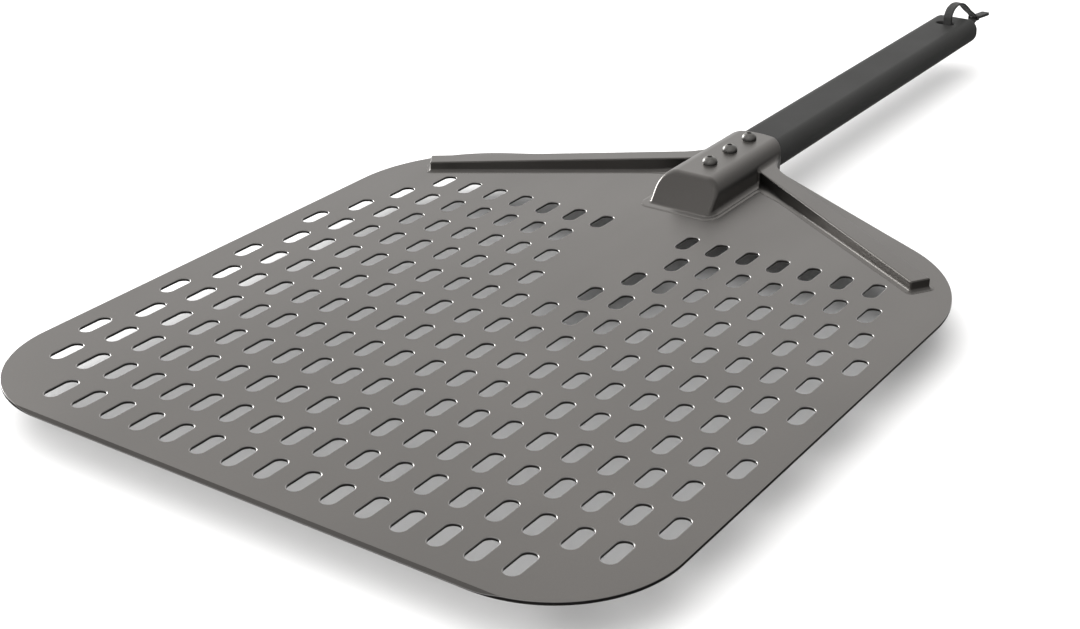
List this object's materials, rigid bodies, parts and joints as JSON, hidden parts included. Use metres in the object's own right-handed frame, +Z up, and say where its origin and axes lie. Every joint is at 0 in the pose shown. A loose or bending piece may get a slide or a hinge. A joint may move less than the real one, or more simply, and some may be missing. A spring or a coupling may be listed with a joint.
{
  "type": "pizza peel",
  "caption": "Perforated metal pizza peel with a ribbed neck bracket, a straight screwed-on handle and a webbing hanging loop.",
  "frame": {"origin": "on the plane of the handle's underside, in the middle of the peel's length and width", "axes": "+X across the blade to the right seen from the handle's end, +Y from the front edge towards the handle's end, +Z up, away from the surface the peel rests on"},
  "size_m": [0.314, 0.7114, 0.0255],
  "materials": {
    "anodised_metal": "satin warm-grey anodised",
    "grip_plastic": "fine matte moulded charcoal",
    "screw_steel": "satin stainless",
    "insert_brass": "machined",
    "strap_webbing": "flat woven black webbing"
  },
  "bodies": {
    "peel": {"blade": "anodised_metal", "bracket": "anodised_metal", "handle": "grip_plastic", "screw_front": "screw_steel", "screw_middle": "screw_steel", "screw_rear": "screw_steel", "insert_front": "insert_brass", "insert_middle": "insert_brass", "insert_rear": "insert_brass"},
    "strap": {"strap": "strap_webbing"}
  },
  "joints": [
    {"name": "strap_swing", "type": "hinge", "parent": "peel", "child": "strap", "pos_m": [0, 0.29125, 0.0075], "axis": [1, 0, 0], "range_deg": [-15, 0]}
  ]
}
